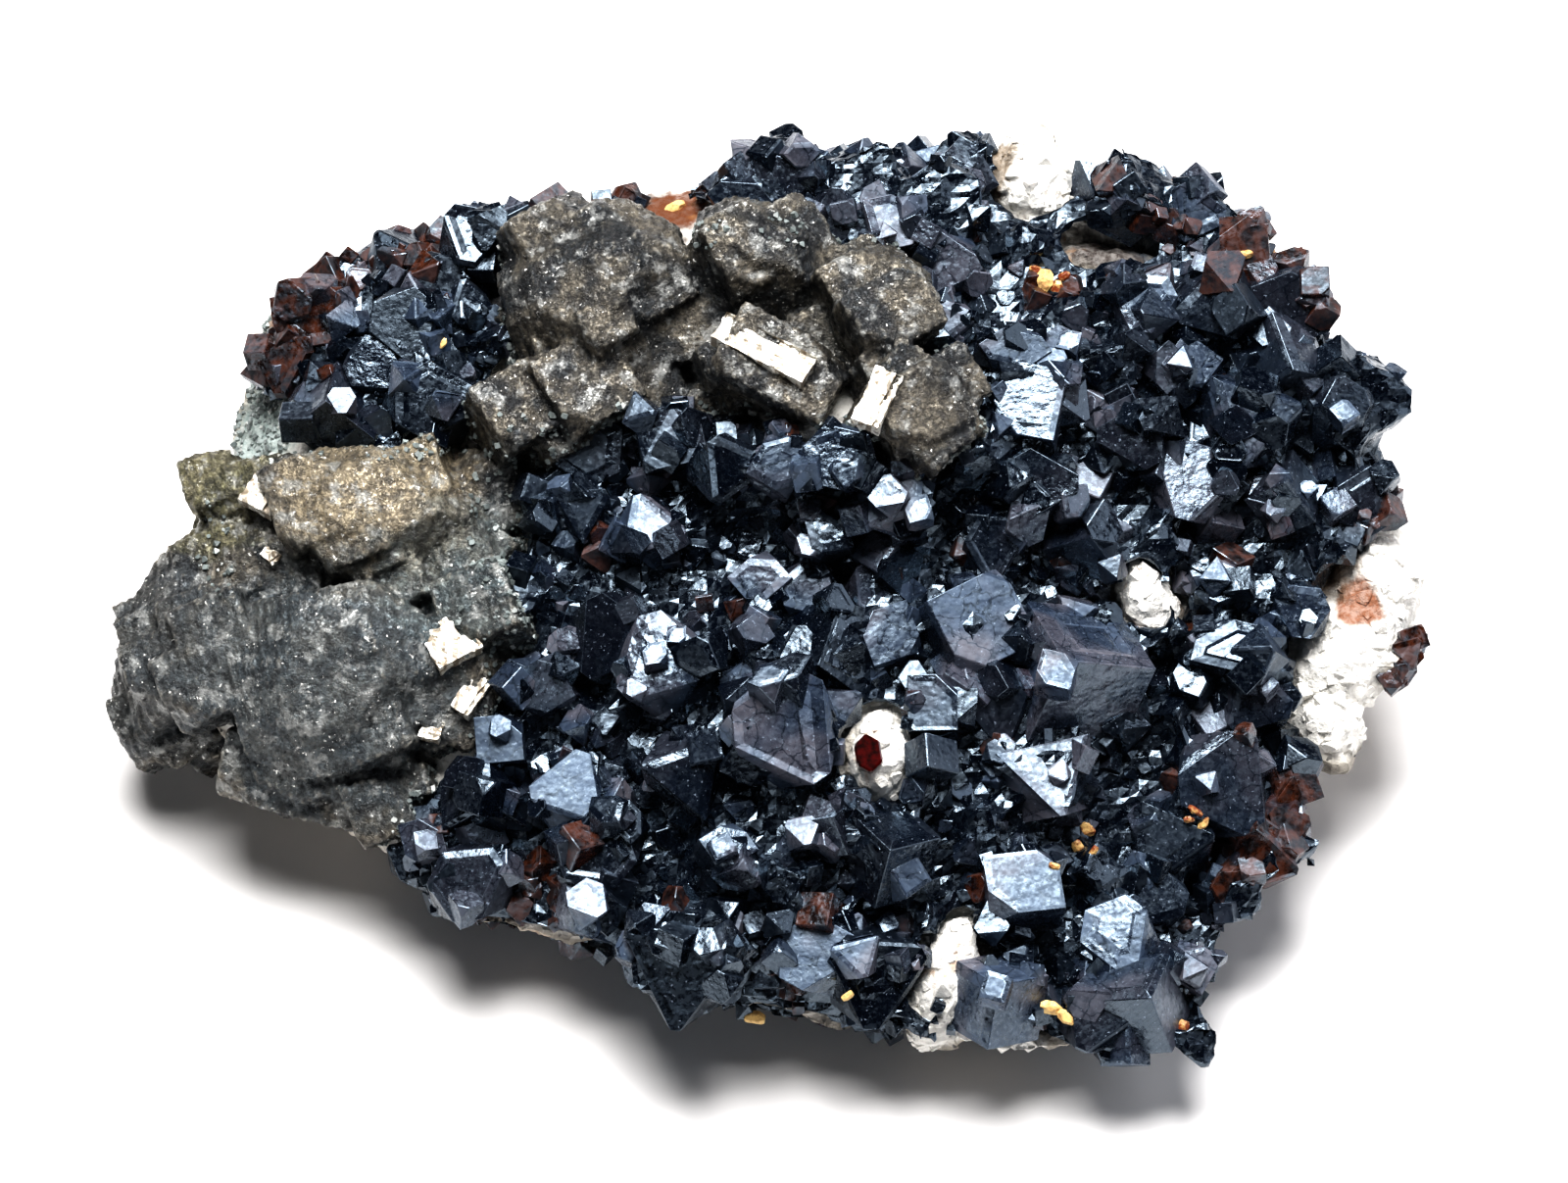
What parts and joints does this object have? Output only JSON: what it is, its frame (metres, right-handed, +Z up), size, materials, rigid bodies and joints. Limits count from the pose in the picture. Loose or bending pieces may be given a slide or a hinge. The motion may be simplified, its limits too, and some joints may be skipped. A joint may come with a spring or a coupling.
{
  "type": "sphalerite specimen",
  "caption": "Mineral specimen: black sphalerite crystals and dull grey galena crystals grown on a lumpy pale matrix rock, flat where it rests.",
  "frame": {"origin": "middle of the bounding box, on the surface that the specimen rests on", "axes": "+X along the specimen's longest side, +Y towards its high back edge, +Z up"},
  "size_m": [0.0818, 0.0578, 0.0298],
  "materials": {
    "white_rock": "matte, granular",
    "black_blende": "glossy crystal faces",
    "grey_galena": "dull, tarnished",
    "brown_blende": "glossy crystal faces"
  },
  "bodies": {
    "root": {"matrix_rock": "white_rock", "sphalerite_main": "black_blende", "sphalerite_left": "black_blende", "sphalerite_spur": "brown_blende", "galena_upper": "grey_galena", "galena_lower": "grey_galena"}
  },
  "joints": []
}
